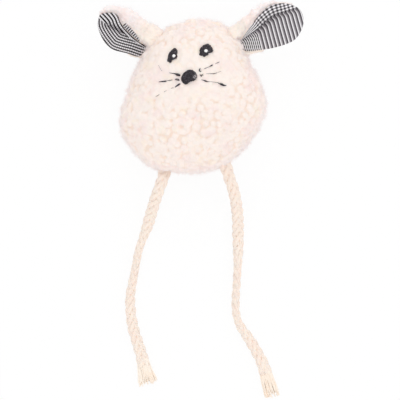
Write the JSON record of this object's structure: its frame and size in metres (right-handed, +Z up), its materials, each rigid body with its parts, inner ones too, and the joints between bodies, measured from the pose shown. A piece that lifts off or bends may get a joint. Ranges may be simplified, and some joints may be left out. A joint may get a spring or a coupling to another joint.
{
  "type": "mouse cat toy",
  "caption": "Stuffed fleece mouse toy for a cat, with cupped check-lined ears, an embroidered face and long braided cord legs that end in frayed tips.",
  "frame": {"origin": "middle of the flat patch under the back that the toy rests on when it lies face up", "axes": "+Z up out of the face, +Y from the legs to the crown of the head, +X to the right of a viewer who looks at the face"},
  "size_m": [0.1093, 0.215, 0.0472],
  "materials": {
    "body_fleece": "cream boucle fleece with small curly nubs",
    "ear_fleece": "cream boucle fleece, a little cooler",
    "check_cotton": "woven cotton with a small black and white check",
    "black_thread": "black embroidery thread in satin stitch",
    "white_thread": "white embroidery thread",
    "cream_thread": "cream sewing thread",
    "cotton_cord": "braided natural cotton cord",
    "fibre_fill": "loose white polyester fibre",
    "sachet_cloth": "plain woven cotton"
  },
  "bodies": {
    "body": {"front_panel": "body_fleece", "back_panel": "body_fleece", "stuffing": "fibre_fill", "catnip_sachet": "sachet_cloth", "seam_thread": "cream_thread", "closing_thread": "cream_thread", "ear_left_root_tab": "ear_fleece", "ear_right_root_tab": "ear_fleece", "leg_left_root": "cotton_cord", "leg_right_root": "cotton_cord", "eye_left": "black_thread", "eye_left_highlight": "white_thread", "eye_right": "black_thread", "eye_right_highlight": "white_thread", "nose": "black_thread", "whisker_left_upper": "black_thread", "whisker_left_middle": "black_thread", "whisker_left_lower": "black_thread", "whisker_right_upper": "black_thread", "whisker_right_middle": "black_thread", "whisker_right_lower": "black_thread"},
    "ear_left": {"ear_left_back": "ear_fleece", "ear_left_lining": "check_cotton", "ear_left_edge_thread": "cream_thread"},
    "ear_right": {"ear_right_back": "ear_fleece", "ear_right_lining": "check_cotton", "ear_right_edge_thread": "cream_thread"},
    "leg_left": {"leg_left_cord": "cotton_cord", "leg_left_fringe": "cotton_cord"},
    "leg_right": {"leg_right_cord": "cotton_cord", "leg_right_fringe": "cotton_cord"}
  },
  "joints": [
    {"name": "ear_left_flop", "type": "hinge", "parent": "body", "child": "ear_left", "pos_m": [-0.02691, 0.03461, 0.021], "axis": [0.6308, 0.7759, 0], "range_deg": [-30, 60], "stiffness_Nm_per_rad": 0.006},
    {"name": "ear_right_flop", "type": "hinge", "parent": "body", "child": "ear_right", "pos_m": [0.02735, 0.03613, 0.021], "axis": [0.5475, -0.8368, 0], "range_deg": [-30, 60], "stiffness_Nm_per_rad": 0.006},
    {"name": "leg_left_swing", "type": "hinge", "parent": "body", "child": "leg_left", "pos_m": [-0.01567, -0.03599, 0.021], "axis": [0, 0, 1], "range_deg": [-60, 10]},
    {"name": "leg_right_swing", "type": "hinge", "parent": "body", "child": "leg_right", "pos_m": [0.01834, -0.0334, 0.021], "axis": [0, 0, 1], "range_deg": [-10, 60]}
  ]
}
